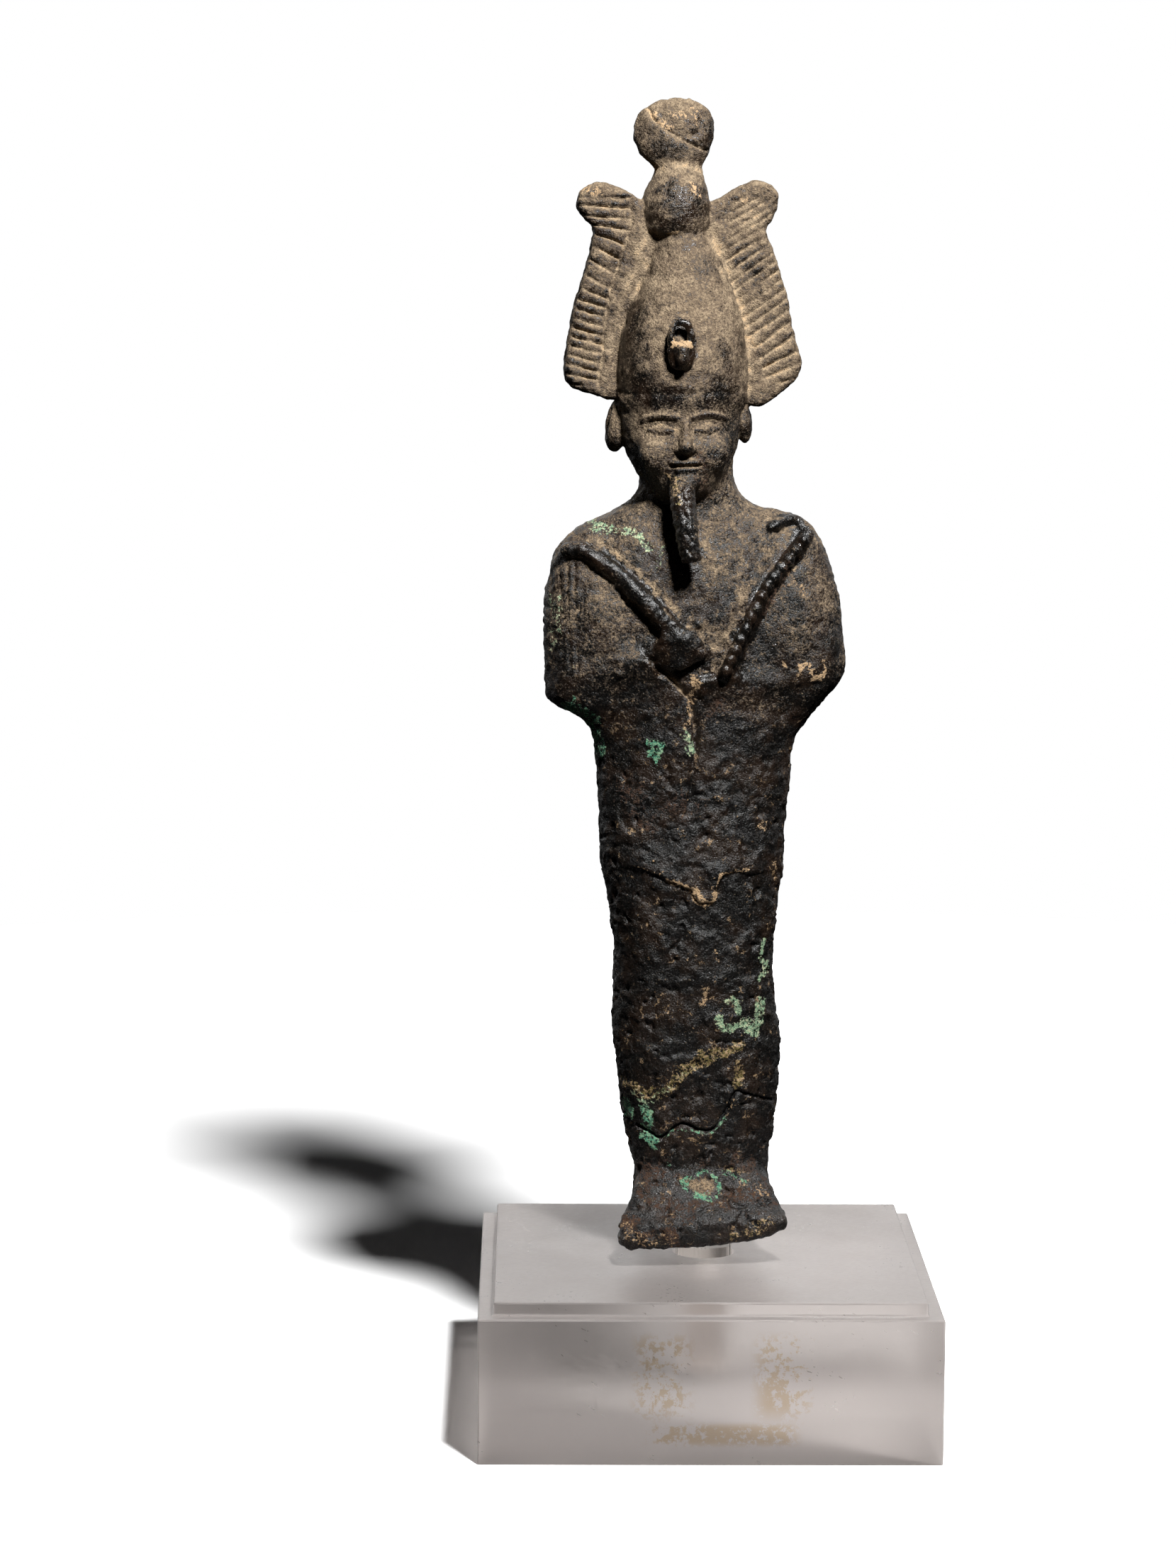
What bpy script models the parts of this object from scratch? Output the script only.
"""Cast bronze figure of a standing, shrouded god in a plumed crown, held by a clear rod above
a stepped block of satin acrylic.

Metres, +Z up, and the figure faces -Y. The origin is the middle of the block's underside.
"""

import math

import bmesh
import bpy
import numpy as np
from mathutils import Euler, Matrix, Vector

MM = 0.001

# The block is one piece of acrylic: a plinth whose top is rebated all round, leaving a low step.
BLOCK_WIDTH = 50.0 * MM
BLOCK_DEPTH = 50.0 * MM
LEDGE_HEIGHT = 16.0 * MM
STEP_HEIGHT = 1.45 * MM
STEP_INSET = 1.7 * MM
BLOCK_BEVEL = 0.2 * MM

# The rod stands in a blind hole in the block and carries the figure clear of it.
ROD_DIAMETER = 6.35 * MM
ROD_BEVEL = 0.15 * MM
ROD_SIDES = 36
HOLE_DEPTH = 11.0 * MM
HOLE_CLEARANCE = 0.3 * MM
CONTACT_GAP = 0.3 * MM
STANDOFF = 2.5 * MM

# The figure, and how it stands on the rod: its pose as seen from the front.
FIGURE_HEIGHT = 125.6 * MM
FIGURE_TURN = math.radians(4.0)
FIGURE_LEAN = math.radians(-1.5)
FIGURE_SHIFT = -0.4 * MM

# The figure's forms are drawn in its own units, 125.6 of them to its height.
UNITS_HIGH = 125.6
UNIT = FIGURE_HEIGHT / UNITS_HIGH

# Fineness of the cast surface in figure units, how often each skin is softened, and the
# number of triangles that the finished solid keeps.
SOFT_GRAIN = 0.5
SOFT_ROUNDS = 8
FINE_GRAIN = 0.26
FINE_ROUNDS = 2
FACETS = 8700

BLOCK_TOP = LEDGE_HEIGHT + STEP_HEIGHT
FIGURE_FOOT = BLOCK_TOP + STANDOFF

# Level sections of each built-up form, from the bottom up, in figure units:
# height, left, right, front and back.
SHROUD = (
    (1.0, -7.0, 7.5, -3.4, 5.3),
    (8.0, -7.3, 7.8, -4.0, 4.9),
    (15.0, -8.5, 8.9, -4.3, 4.9),
    (22.5, -9.2, 9.2, -4.9, 5.3),
    (31.0, -8.9, 8.6, -5.1, 5.2),
    (36.5, -9.4, 9.2, -5.2, 5.1),
    (43.0, -10.2, 10.0, -5.3, 5.3),
    (53.0, -10.5, 11.0, -5.1, 5.8),
    (58.0, -11.2, 12.2, -5.2, 5.6),
    (64.0, -12.0, 12.3, -5.6, 5.5),
    (71.0, -12.1, 12.3, -5.6, 5.6),
    (76.0, -11.6, 11.8, -4.9, 5.4),
    (79.2, -10.4, 11.0, -3.9, 4.9),
    (81.0, -7.7, 7.6, -3.5, 4.5),
    (82.6, -5.6, 5.8, -3.6, 4.3),
    (84.6, -5.0, 5.1, -3.7, 4.2),
    (88.0, -5.0, 5.1, -3.8, 4.2),
)
LEFT_ARM = (
    (56.4, -10.8, -7.5, -1.4, 1.6),
    (58.4, -12.3, -7.5, -3.0, 2.6),
    (60.3, -15.6, -7.5, -4.0, 3.3),
    (62.4, -16.0, -7.5, -4.6, 3.7),
    (67.0, -16.1, -7.5, -4.8, 4.1),
    (71.0, -15.9, -7.5, -4.5, 4.2),
    (74.5, -15.2, -7.5, -4.0, 4.1),
    (77.2, -14.2, -6.5, -3.2, 3.7),
    (79.2, -11.8, -5.5, -2.2, 3.0),
    (80.6, -8.6, -5.5, -0.8, 1.8),
)
RIGHT_ARM = (
    (55.6, 7.5, 11.6, -1.4, 1.6),
    (57.6, 7.5, 13.2, -3.0, 2.6),
    (60.2, 7.5, 15.3, -4.0, 3.3),
    (62.6, 7.5, 17.1, -4.5, 3.7),
    (66.5, 7.5, 16.9, -4.8, 4.1),
    (70.5, 7.5, 16.6, -4.5, 4.2),
    (74.5, 7.5, 15.7, -4.0, 4.1),
    (77.2, 6.5, 14.7, -3.2, 3.7),
    (79.3, 5.5, 13.0, -2.2, 3.0),
    (80.7, 5.5, 9.0, -0.8, 1.8),
)
HEAD = (
    (82.4, -3.0, 1.6, -5.2, -0.5),
    (83.6, -4.4, 3.0, -6.1, 2.5),
    (85.2, -5.6, 4.3, -6.5, 4.8),
    (87.4, -6.6, 5.4, -6.7, 5.9),
    (90.0, -7.2, 6.0, -6.6, 6.4),
    (93.0, -7.2, 6.1, -6.3, 6.5),
    (95.5, -6.4, 5.5, -5.4, 6.0),
)
CROWN = (
    (91.9, -7.1, 6.3, -6.0, 6.5),
    (92.5, -7.6, 6.8, -6.8, 7.0),
    (95.0, -7.6, 7.0, -7.1, 7.2),
    (98.0, -7.5, 6.9, -6.9, 7.1),
    (101.5, -6.9, 6.5, -6.2, 6.6),
    (105.0, -5.2, 5.6, -5.0, 5.4),
    (108.0, -3.9, 4.4, -3.9, 4.3),
    (110.5, -3.0, 3.0, -3.1, 3.4),
    (112.5, -2.6, 2.6, -2.8, 3.0),
)
BULB = (
    (110.7, -3.3, 2.4, -2.6, 2.9),
    (111.5, -4.0, 3.0, -3.4, 3.5),
    (113.6, -4.3, 3.1, -3.8, 3.8),
    (115.4, -3.9, 2.9, -3.4, 3.5),
    (117.0, -3.0, 2.5, -2.4, 2.6),
    (118.4, -2.6, 2.2, -1.7, 1.9),
)
DISC = (
    (117.4, -2.5, 2.0, -1.3, 1.4),
    (118.4, -3.3, 2.6, -1.7, 1.8),
    (119.8, -4.5, 3.2, -2.0, 2.1),
    (121.4, -5.0, 3.7, -2.1, 2.2),
    (123.0, -4.8, 3.7, -2.0, 2.1),
    (124.4, -3.9, 2.9, -1.7, 1.7),
    (125.3, -2.2, 1.4, -1.2, 1.2),
    (125.6, -0.9, 0.3, -0.5, 0.5),
)

# Upright sections of the feet, from heel to toe: how far back, left, right, bottom and top.
# The toes hang lower on the left: each unit forward of the ankle tips them by the skew.
FEET = (
    (6.0, -6.0, 6.4, 0.6, 5.0),
    (5.0, -7.0, 7.4, 0.0, 8.0),
    (1.0, -7.3, 7.8, 0.0, 9.0),
    (-3.2, -8.0, 7.8, 0.0, 8.4),
    (-5.2, -9.2, 8.5, -0.1, 5.4),
    (-6.8, -10.0, 9.1, -0.2, 3.2),
    (-7.7, -9.9, 9.0, -0.1, 2.5),
    (-8.1, -9.0, 8.3, 0.3, 1.9),
)
TOE_SKEW = 0.012
TOE_START = -2.0

# Outlines of the two crown feathers in the figure's front view, across and up.
LEFT_FEATHER = (
    (-2.0, 112.5), (-4.5, 114.5), (-6.5, 115.8), (-9.0, 116.5), (-10.9, 115.7), (-11.4, 114.0),
    (-10.5, 112.6), (-9.6, 111.2), (-10.8, 106.6), (-12.1, 102.6), (-13.1, 96.6), (-12.6, 94.8),
    (-10.6, 93.9), (-8.0, 93.2), (-4.0, 94.5), (-2.0, 104.0),
)
RIGHT_FEATHER = (
    (2.0, 112.5), (4.2, 114.6), (6.4, 115.8), (8.6, 116.4), (10.3, 115.5), (10.6, 113.9),
    (9.9, 112.3), (9.1, 110.8), (10.3, 107.4), (11.5, 102.8), (12.2, 99.2), (12.8, 97.0),
    (12.5, 95.2), (10.6, 93.4), (7.6, 91.9), (4.0, 94.5), (2.0, 104.0),
)
FEATHER_FRONT = -1.2
FEATHER_BACK = 1.7
FEATHER_ROUNDING = 0.7

# Each feather's quill, as a line up the front view, and its barbs: their pitch, the slope that
# they take at some heights, and how much of their depth wear has left there.
LEFT_QUILL = ((-9.6, 95.0), (-9.0, 98.0), (-8.7, 101.5), (-8.0, 105.0), (-5.6, 112.0), (-5.6, 115.0))
RIGHT_QUILL = ((8.9, 94.6), (8.0, 97.5), (6.4, 100.0), (5.2, 104.5), (4.6, 109.0), (5.6, 114.6))
LEFT_BARBS = (
    (94.6, -0.20, 1.0), (104.8, -0.34, 1.0), (105.8, -0.40, 0.4), (108.0, -0.55, 0.7),
    (110.0, -0.40, 1.0), (112.0, -0.12, 1.0), (115.0, -0.06, 1.0),
)
RIGHT_BARBS = (
    (94.4, 0.33, 1.0), (98.6, 0.42, 1.0), (100.4, 0.50, 0.4), (104.8, 0.55, 0.4),
    (106.2, 0.58, 1.0), (108.4, 0.60, 1.0), (109.4, 0.60, 0.3), (115.0, 0.60, 0.3),
)
BARB_PITCH = 1.1
BARB_DEPTH = 0.26
BARB_WIDTH = 0.22
QUILL_DEPTH = 0.22
QUILL_WIDTH = 0.25

# The attributes on the chest, as lines in the front view, across and up, with the radius of
# each ridge and how far it stands out.
FLAIL_HANDLE = ((-13.8, 78.0), (-10.2, 76.1), (-7.1, 73.3), (-4.2, 70.3), (-2.0, 68.2))
FLAIL_RADIUS = 1.0
FLAIL_RAISE = 1.25
CROOK_STAFF = ((3.3, 63.7), (5.2, 67.3), (7.3, 71.3), (9.4, 74.1), (12.2, 77.4))
CROOK_RADIUS = 0.85
CROOK_RAISE = 0.9
CROOK_HOOK = ((12.4, 77.6), (12.2, 78.9), (10.9, 79.5), (9.6, 79.2), (9.3, 78.5))
HOOK_RADIUS = 0.6
HOOK_RAISE = 0.7
BEAD_PITCH = 1.2
BEAD_RAISE = 0.25
TAIL_SPACING = 0.95
TAIL_RAISE = 0.2
TAIL_RANGE = (62.5, 76.0)
TAIL_EDGE = -12.8

# The edge of the shroud below the left hand: the cloth to its left lies prouder.
SHROUD_EDGE = ((-5.2, 64.8), (-2.4, 62.4), (-0.7, 60.4), (-0.1, 56.4), (-0.6, 53.0), (-1.3, 47.0))
EDGE_RAISE = 0.55
EDGE_WIDTH = 3.5
EDGE_TAPER = 8.0
SEAM_DEPTH = 0.35
SEAM_WIDTH = 0.45

# The braided beard: where its middle runs, how its radius tapers, and its rings.
BEARD_LINE = ((-1.0, -5.4, 84.4), (-1.1, -6.2, 82.0), (-0.8, -6.9, 78.5), (-0.4, -7.1, 75.7))
BEARD_TOP_RADIUS = 1.35
BEARD_TIP_RADIUS = 0.85
BEARD_RINGS = 9
BEARD_RING_RAISE = 0.18

# The cobra on the crown: the loop that its body makes, and the raised head within it.
COBRA_CENTRE = (-1.25, -7.3, 99.0)
COBRA_LOOP = (1.35, 3.05)
COBRA_THICKNESS = 0.6
COBRA_HEAD = (-1.45, -8.2, 98.2)
COBRA_HEAD_SIZE = (1.05, 1.5, 2.1)

# The face's own middle line and front.
FACE_MIDDLE = -0.7
FACE_FRONT = -6.6
EYE_HEIGHT = 89.95
EYE_SPACING = 2.6
SOCKET_DEPTH = 0.34
EYE_RAISE = 0.34
BROW_RAISE = 0.22


def clear_scene():
    """Removes whatever objects the file holds."""
    for thing in list(bpy.data.objects):
        bpy.data.objects.remove(thing)


def finish(name, colour, roughness, metallic=0.0, transmission=0.0):
    """A plain material with the piece's colour and sheen."""
    material = bpy.data.materials.new(name)
    material.use_nodes = True
    shader = material.node_tree.nodes["Principled BSDF"]
    shader.inputs["Base Color"].default_value = (*colour, 1.0)
    shader.inputs["Roughness"].default_value = roughness
    shader.inputs["Metallic"].default_value = metallic
    shader.inputs["Transmission Weight"].default_value = transmission
    return material


def place(name, mesh, material=None):
    """Puts a mesh in the scene as a named object."""
    thing = bpy.data.objects.new(name, mesh)
    bpy.context.scene.collection.objects.link(thing)
    if material:
        thing.data.materials.append(material)
    return thing


def mesh_of(name, shape):
    """Turns a bmesh into a mesh with its faces out, and frees it."""
    bmesh.ops.recalc_face_normals(shape, faces=shape.faces)
    mesh = bpy.data.meshes.new(name)
    shape.to_mesh(mesh)
    shape.free()
    return mesh


def eased(points, steps=6, closed=False):
    """Points along a smooth curve that passes through the given ones."""
    given = np.array(points, float)
    if closed:
        given = np.vstack([given[-1:], given, given[:2]])
    else:
        given = np.vstack([2 * given[0] - given[1], given, 2 * given[-1] - given[-2]])
    found = []
    for before, start, end, after in zip(given, given[1:], given[2:], given[3:]):
        for t in np.arange(steps) / steps:
            curve = 2 * start + (end - before) * t
            curve = curve + (2 * before - 5 * start + 4 * end - after) * t**2
            curve = curve + (3 * start - before - 3 * end + after) * t**3
            found.append(curve / 2)
    if not closed:
        found.append(given[-2])
    return np.array(found)


def rounded_ring(left, right, low, high, power, sides=56):
    """Points of a rounded rectangle between four limits; the power sets how square it is."""
    turns = np.linspace(0, 2 * math.pi, sides, endpoint=False)
    across = np.sign(np.cos(turns)) * np.abs(np.cos(turns)) ** (2 / power)
    along = np.sign(np.sin(turns)) * np.abs(np.sin(turns)) ** (2 / power)
    x = (left + right) / 2 + across * (right - left) / 2
    y = (low + high) / 2 + along * (high - low) / 2
    return np.column_stack([x, y])


def skin(rings, closed=False):
    """A bmesh through rings of as many points each, capped at both ends unless it is closed."""
    shape = bmesh.new()
    loops = [[shape.verts.new(point) for point in ring] for ring in rings]
    nexts = loops[1:] + loops[:1] if closed else loops[1:]
    for lower, upper in zip(loops, nexts):
        for a in range(len(lower)):
            b = (a + 1) % len(lower)
            shape.faces.new((lower[a], lower[b], upper[b], upper[a]))
    if not closed:
        shape.faces.new(reversed(loops[0]))
        shape.faces.new(loops[-1])
    return shape


def level_form(name, sections, power=2.3):
    """A form built up from level sections: height, left, right, front, back."""
    rings = []
    for height, left, right, front, back in eased(sections):
        flat = rounded_ring(left, right, front, back, power)
        rings.append([(x, y, height) for x, y in flat])
    return mesh_of(name, skin(rings))


def feet_form():
    """The two feet under the shroud, as one block that spreads towards the toes."""
    rings = []
    for back, left, right, bottom, top in eased(FEET):
        flat = rounded_ring(left, right, bottom, top, power=2.6)
        skew = TOE_SKEW * max(TOE_START - back, 0)
        rings.append([(x, back, z + skew * x) for x, z in flat])
    return mesh_of("feet", skin(rings))


def lump(name, centre, radii, turn=(0.0, 0.0, 0.0), power=2.0):
    """A rounded lump, turned by three angles in degrees; the power sets how square it is."""
    shape = bmesh.new()
    bmesh.ops.create_icosphere(shape, subdivisions=4, radius=1.0)
    for vertex in shape.verts:
        vertex.co /= sum(abs(c) ** power for c in vertex.co) ** (1 / power)
    angles = Euler([math.radians(a) for a in turn]).to_matrix().to_4x4()
    pose = Matrix.Translation(centre) @ angles @ Matrix.Diagonal((*radii, 1.0))
    bmesh.ops.transform(shape, matrix=pose, verts=shape.verts)
    return mesh_of(name, shape)


def limb(name, start, start_radius, end, end_radius):
    """A tapered limb with round ends: the hull of two balls."""
    shape = bmesh.new()
    for centre, radius in ((start, start_radius), (end, end_radius)):
        spot = Matrix.Translation(centre)
        bmesh.ops.create_icosphere(shape, subdivisions=3, radius=radius, matrix=spot)
    hull = bmesh.ops.convex_hull(shape, input=shape.verts)
    bmesh.ops.delete(shape, geom=hull["geom_interior"], context="VERTS")
    return mesh_of(name, shape)


def plate(name, outline):
    """An upright plate of a feather's outline, with rounded edges."""
    shape = bmesh.new()
    rim = [shape.verts.new((x, FEATHER_FRONT, z)) for x, z in eased(outline, 4, closed=True)]
    face = shape.faces.new(rim)
    grown = bmesh.ops.extrude_face_region(shape, geom=[face])["geom"]
    moved = [part for part in grown if isinstance(part, bmesh.types.BMVert)]
    bmesh.ops.translate(shape, vec=(0, FEATHER_BACK - FEATHER_FRONT, 0), verts=moved)
    rims = [edge for edge in shape.edges if edge.verts[0].co.y == edge.verts[1].co.y]
    bmesh.ops.bevel(
        shape, geom=rims, offset=FEATHER_ROUNDING, segments=3, profile=0.5, affect="EDGES"
    )
    return mesh_of(name, shape)


def ring_about(centre, way, size, sides=24):
    """Points of a circle about a centre, square to the way its line runs there."""
    turn = Vector(way).to_track_quat("Z", "Y").to_matrix()
    spokes = np.linspace(0, 2 * math.pi, sides, endpoint=False)
    return [
        Vector(centre) + turn @ Vector((math.cos(a) * size, math.sin(a) * size, 0))
        for a in spokes
    ]


def beard_form():
    """The braided beard, a tapering tube ringed from end to end."""
    middle = eased(BEARD_LINE, steps=14)
    share = np.linspace(0, 1, len(middle))
    size = BEARD_TOP_RADIUS + (BEARD_TIP_RADIUS - BEARD_TOP_RADIUS) * share
    size = size + BEARD_RING_RAISE * np.abs(np.sin(share * BEARD_RINGS * math.pi))
    ways = np.gradient(middle, axis=0)
    return mesh_of("beard", skin([ring_about(*spot) for spot in zip(middle, ways, size)]))


def cobra_loop():
    """The cobra's body, an oval loop lying on the front of the crown."""
    turns = np.linspace(0, 2 * math.pi, 40, endpoint=False)
    half_width, half_height = COBRA_LOOP
    rings = []
    for turn in turns:
        spoke = Vector((math.cos(turn) * half_width, 0, math.sin(turn) * half_height))
        way = Vector((-math.sin(turn) * half_width, 0, math.cos(turn) * half_height))
        rings.append(ring_about(Vector(COBRA_CENTRE) + spoke, way, COBRA_THICKNESS, sides=12))
    return mesh_of("cobra_loop", skin(rings, closed=True))


def fused(name, meshes, grain, rounds):
    """Melts overlapping meshes into one skin of even grain, softened a number of times."""
    shape = bmesh.new()
    for mesh in meshes:
        shape.from_mesh(mesh)
    thing = place(name, mesh_of(name, shape))
    remesh = thing.modifiers.new("one_skin", "REMESH")
    remesh.mode = "VOXEL"
    remesh.voxel_size = grain
    smooth = thing.modifiers.new("soften", "SMOOTH")
    smooth.factor = 0.5
    smooth.iterations = rounds
    graph = bpy.context.evaluated_depsgraph_get()
    mesh = bpy.data.meshes.new_from_object(thing.evaluated_get(graph))
    bpy.data.objects.remove(thing)
    return mesh


def soft_forms():
    """The body, head and crown, whose forms flow into each other."""
    return [
        level_form("shroud", SHROUD, power=2.5),
        level_form("left_arm", LEFT_ARM),
        level_form("right_arm", RIGHT_ARM),
        lump("left_sleeve", (-9.3, -1.6, 68.0), (5.2, 3.9, 9.0), (0, -8, 0)),
        lump("right_sleeve", (10.0, -1.6, 67.5), (5.6, 3.9, 9.0), (0, 8, 0)),
        limb("left_forearm", (-12.3, -2.3, 63.8), 2.6, (-3.2, -4.0, 65.0), 2.5),
        limb("right_forearm", (12.8, -2.3, 63.2), 2.6, (3.4, -3.9, 62.0), 2.2),
        feet_form(),
        level_form("head", HEAD, power=2.2),
        level_form("crown", CROWN, power=2.1),
    ]


def crisp_forms():
    """The forms of the design that keep clear edges where they meet the rest."""
    return [
        level_form("bulb", BULB, power=2.1),
        level_form("disc", DISC, power=2.0),
        plate("left_feather", LEFT_FEATHER),
        plate("right_feather", RIGHT_FEATHER),
        beard_form(),
        cobra_loop(),
        lump("cobra_head", COBRA_HEAD, COBRA_HEAD_SIZE, (12, 0, 0)),
        lump("left_ear", (-7.5, 0.2, 90.2), (1.2, 1.7, 2.9), (0, 8, 0)),
        lump("right_ear", (6.3, 0.2, 90.4), (1.1, 1.7, 2.4), (0, -8, 0)),
        lump("left_fist", (-1.9, -5.9, 65.7), (2.2, 1.5, 2.5), (0, 42, 0), power=3.4),
        lump("right_fist", (2.0, -5.6, 62.2), (2.2, 1.2, 1.0), power=3.0),
    ]


def face_forms():
    """The features of the face that stand out, about its own middle line."""
    m, f = FACE_MIDDLE, FACE_FRONT
    return [
        limb("nose", (m, f + 0.2, 90.3), 0.55, (m, f - 0.75, 88.0), 0.85),
        lump("nose_wings", (m, f - 0.1, 87.7), (1.4, 0.8, 0.6)),
        lump("upper_lip", (m, f + 0.05, 86.3), (1.7, 0.6, 0.36)),
        lump("lower_lip", (m, f + 0.1, 85.6), (1.4, 0.6, 0.38)),
        lump("chin", (m, f + 0.6, 84.4), (1.8, 1.1, 1.1)),
    ]


def near_line(across, up, line):
    """Each point's distance from a line in the front view, and how far along it that is."""
    path = eased(line, steps=8)
    best = np.full(len(across), np.inf)
    along = np.zeros(len(across))
    travelled = 0.0
    for start, end in zip(path, path[1:]):
        run = end - start
        length = float(np.hypot(*run))
        share = ((across - start[0]) * run[0] + (up - start[1]) * run[1]) / length**2
        share = np.clip(share, 0, 1)
        gap = np.hypot(across - start[0] - share * run[0], up - start[1] - share * run[1])
        closer = gap < best
        best = np.where(closer, gap, best)
        along = np.where(closer, travelled + share * length, along)
        travelled += length
    return best, along


def across_at(line, up):
    """Where a line that runs up the front view lies, at each height."""
    points = np.array(sorted((height, across) for across, height in line))
    return np.interp(up, points[:, 0], points[:, 1])


def round_ridge(gap, radius):
    """Height of a half-round ridge: 1 on its line and 0 beyond its radius."""
    return np.sqrt(np.clip(1 - (gap / radius) ** 2, 0, 1))


def groove(gap, width):
    """Depth of a narrow groove: 1 on its line, and gone within twice its width."""
    return np.exp(-((gap / width) ** 2))


def feather_relief(x, z, faces_out):
    """Barbs across the outer band of each feather, and the quill line that ends them."""
    height = np.zeros(len(x))
    for side, quill, barbs in ((-1, LEFT_QUILL, LEFT_BARBS), (1, RIGHT_QUILL, RIGHT_BARBS)):
        heights, slopes, depths = np.array(barbs).T
        beyond = side * (x - across_at(quill, z))
        on_feather = (z > heights[0]) & (z < heights[-1]) & (side * x > 4.0)
        phase = (z - side * np.interp(z, heights, slopes) * beyond) / BARB_PITCH
        gap = np.abs(phase - np.round(phase)) * BARB_PITCH
        depth = BARB_DEPTH * np.interp(z, heights, depths)
        height -= depth * groove(gap, BARB_WIDTH) * on_feather * (beyond > 0)
        height -= QUILL_DEPTH * groove(beyond, QUILL_WIDTH) * on_feather
    return height * faces_out


def chest_relief(x, y, z, faces_front):
    """The flail's handle and tails, the beaded crook with its hook, and the shroud's edge."""
    gap, _ = near_line(x, z, FLAIL_HANDLE)
    height = FLAIL_RAISE * round_ridge(gap, FLAIL_RADIUS)
    gap, along = near_line(x, z, CROOK_STAFF)
    beads = BEAD_RAISE * np.cos(2 * math.pi * along / BEAD_PITCH)
    height = np.maximum(height, (CROOK_RAISE + beads) * round_ridge(gap, CROOK_RADIUS))
    gap, _ = near_line(x, z, CROOK_HOOK)
    height = np.maximum(height, HOOK_RAISE * round_ridge(gap, HOOK_RADIUS))
    gap, _ = near_line(x, z, SHROUD_EDGE)
    covered = x < across_at(SHROUD_EDGE, z)
    step = np.where(covered, EDGE_RAISE * groove(gap, EDGE_WIDTH), -SEAM_DEPTH * groove(gap, SEAM_WIDTH))
    above_end = np.clip((z - SHROUD_EDGE[-1][1]) / EDGE_TAPER, 0, 1)
    below_top = np.clip((SHROUD_EDGE[0][1] - z) / SEAM_WIDTH, 0, 1)
    height += step * above_end * below_top
    tails = (x < TAIL_EDGE) & (z > TAIL_RANGE[0]) & (z < TAIL_RANGE[1]) & (y < 0.5)
    ribs = TAIL_RAISE * np.cos(2 * math.pi * (y - 0.6 * x) / TAIL_SPACING)
    return height * faces_front + ribs * tails


def face_relief(x, y, z, faces_front):
    """Sunken eyes with their lids, and the brows above them."""
    height = np.zeros(len(x))
    for side in (-1, 1):
        across = side * (x - FACE_MIDDLE) - EYE_SPACING
        up = z - EYE_HEIGHT
        socket = np.hypot(across / 1.7, up / 0.95)
        height -= SOCKET_DEPTH * np.exp(-(socket**4))
        ball = np.hypot(across / 1.35, (up + 0.03 * across) / 0.58)
        height += EYE_RAISE * round_ridge(ball, 1.0)
        arch = up - 1.5 + 0.1 * across + 0.12 * across**2
        brow = np.hypot(np.maximum(np.abs(across) - 1.4, 0), arch)
        height += BROW_RAISE * round_ridge(brow, 0.42)
    return height * faces_front * (y < -3.0)


def carved(mesh):
    """Works the relief into a cast skin by moving its points along their normals."""
    points = np.zeros(len(mesh.vertices) * 3, np.float32)
    mesh.vertices.foreach_get("co", points)
    points = points.reshape(-1, 3).astype(float)
    normals = np.zeros(points.size, np.float32)
    mesh.vertex_normals.foreach_get("vector", normals)
    normals = normals.reshape(-1, 3).astype(float)
    x, y, z = points.T
    faces_front = np.clip(-normals[:, 1] * 2.5, 0, 1)
    faces_out = np.clip(np.abs(normals[:, 1]) * 2 - 0.8, 0, 1)
    height = feather_relief(x, z, faces_out)
    height += chest_relief(x, y, z, faces_front) * ((z > 46) & (z < 81))
    height += face_relief(x, y, z, faces_front) * ((z > 84) & (z < 92))
    points += normals * height[:, None]
    mesh.vertices.foreach_set("co", points.astype(np.float32).ravel())
    mesh.update()
    return mesh


def figure(material):
    """The cast figure, posed on its rod."""
    body = fused("soft", soft_forms(), SOFT_GRAIN, SOFT_ROUNDS)
    whole = fused("crisp", [body, *crisp_forms(), *face_forms()], FINE_GRAIN, FINE_ROUNDS)
    mesh = carved(whole)
    mesh.transform(Matrix.Scale(UNIT, 4))
    mesh.shade_smooth()
    thing = place("osiris_figure", mesh, material)
    thing.rotation_euler = (0.0, FIGURE_LEAN, FIGURE_TURN)
    thing.location = (FIGURE_SHIFT, 0.0, FIGURE_FOOT)
    triangles = sum(len(face.vertices) - 2 for face in mesh.polygons)
    facet = thing.modifiers.new("facets", "DECIMATE")
    facet.ratio = FACETS / triangles
    facet.use_collapse_triangulate = True
    return thing


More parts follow.
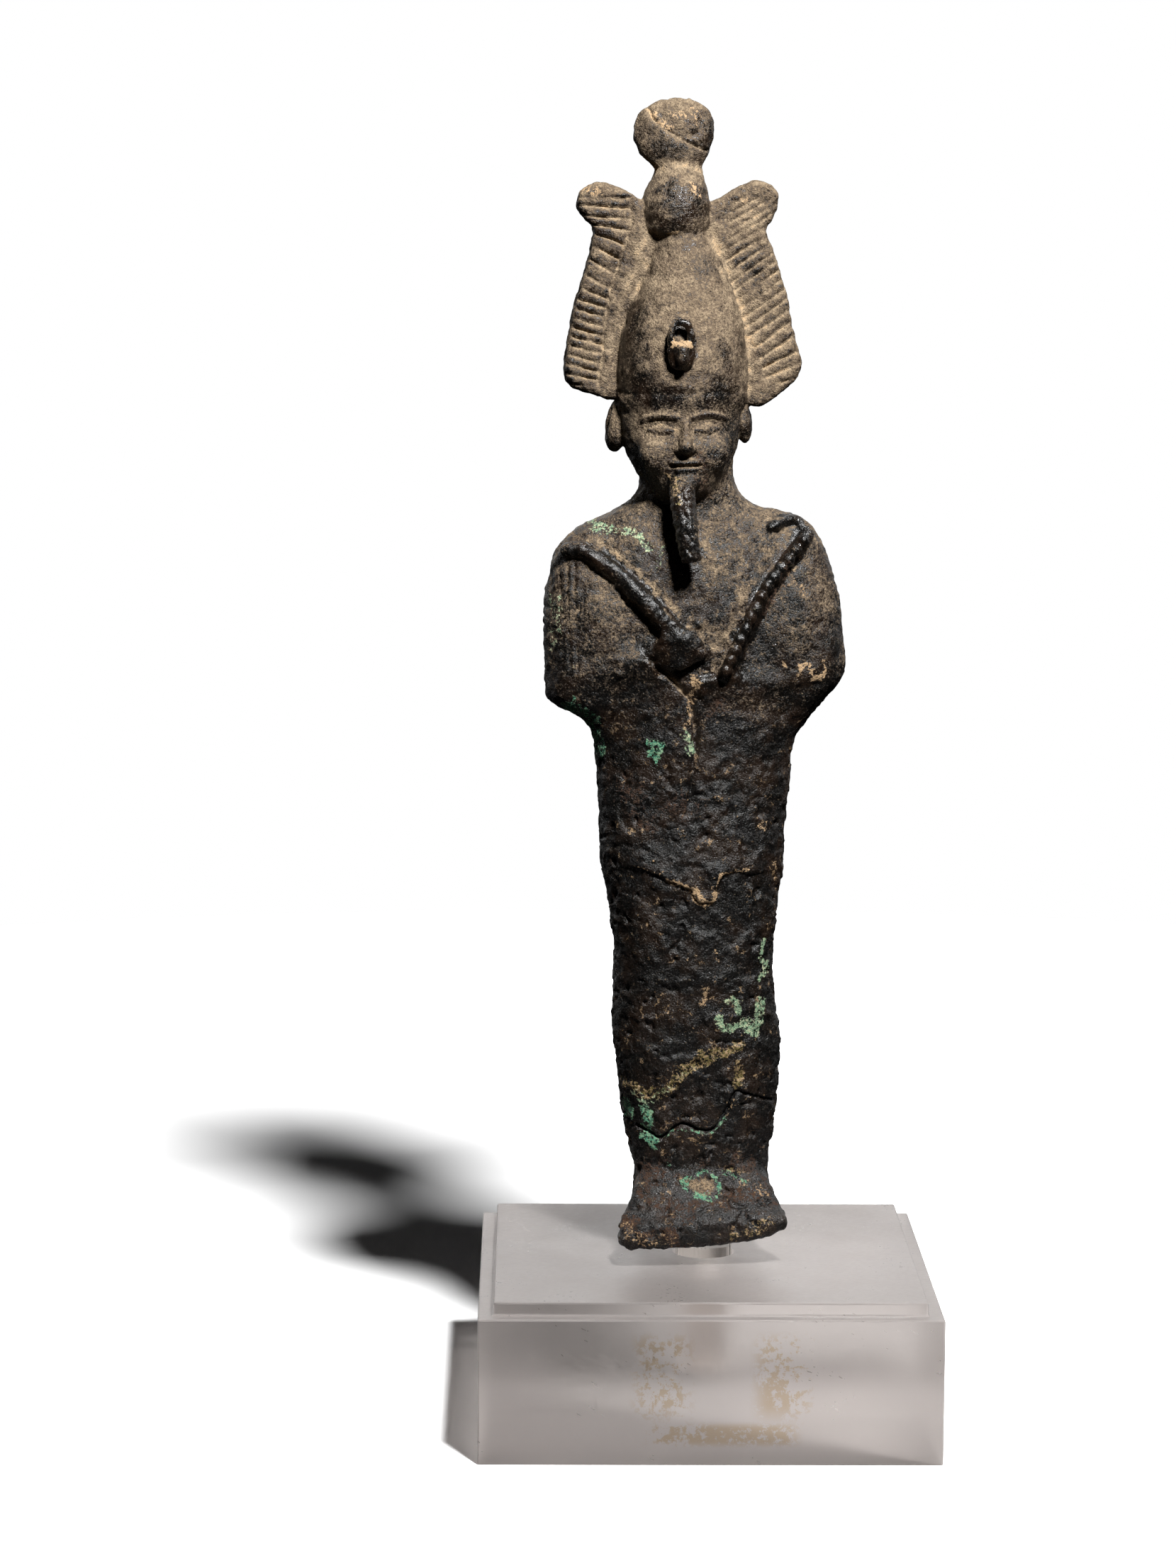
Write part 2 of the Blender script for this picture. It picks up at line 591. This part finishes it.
def block(material):
    """The stepped acrylic block with the rod's blind hole in its top."""
    levels = (
        (0.0, 0.0),
        (LEDGE_HEIGHT, 0.0),
        (LEDGE_HEIGHT, STEP_INSET),
        (BLOCK_TOP, STEP_INSET),
    )
    rings = []
    for height, inset in levels:
        w, d = BLOCK_WIDTH / 2 - inset, BLOCK_DEPTH / 2 - inset
        rings.append([(-w, -d, height), (w, -d, height), (w, d, height), (-w, d, height)])
    thing = place("display_block", mesh_of("display_block", skin(rings)), material)
    bevel = thing.modifiers.new("eased_edges", "BEVEL")
    bevel.width = BLOCK_BEVEL
    bevel.segments = 2
    bevel.limit_method = "ANGLE"
    radius = ROD_DIAMETER / 2 + HOLE_CLEARANCE
    cutter = place("rod_hole", round_bar("rod_hole", radius, BLOCK_TOP - HOLE_DEPTH, FIGURE_FOOT))
    cutter.hide_render = True
    cutter.display_type = "WIRE"
    cut = thing.modifiers.new("rod_hole", "BOOLEAN")
    cut.operation = "DIFFERENCE"
    cut.object = cutter
    return thing


def round_bar(name, radius, bottom, top):
    """A plain upright cylinder on the origin's axis."""
    shape = bmesh.new()
    bmesh.ops.create_cone(
        shape,
        cap_ends=True,
        segments=ROD_SIDES,
        radius1=radius,
        radius2=radius,
        depth=top - bottom,
        matrix=Matrix.Translation((0, 0, (top + bottom) / 2)),
    )
    return mesh_of(name, shape)


def rod(material):
    """The clear rod, from the bottom of its hole to just under the leaning figure's feet."""
    radius = ROD_DIAMETER / 2
    bottom = BLOCK_TOP - HOLE_DEPTH + CONTACT_GAP
    top = FIGURE_FOOT - CONTACT_GAP - radius * abs(math.tan(FIGURE_LEAN))
    mesh = round_bar("mounting_rod", radius, bottom, top)
    mesh.shade_smooth()
    mesh.set_sharp_from_angle(angle=math.radians(40))
    thing = place("mounting_rod", mesh, material)
    bevel = thing.modifiers.new("eased_ends", "BEVEL")
    bevel.width = ROD_BEVEL
    bevel.segments = 1
    bevel.limit_method = "ANGLE"
    bevel.angle_limit = math.radians(40)
    return thing


def main():
    clear_scene()
    bronze = finish("bronze", (0.06, 0.05, 0.04), 0.55, metallic=0.4)
    satin_acrylic = finish("satin_acrylic", (0.72, 0.68, 0.66), 0.4, transmission=0.6)
    clear_acrylic = finish("clear_acrylic", (0.9, 0.9, 0.9), 0.08, transmission=1.0)
    block(satin_acrylic)
    rod(clear_acrylic)
    figure(bronze)


main()
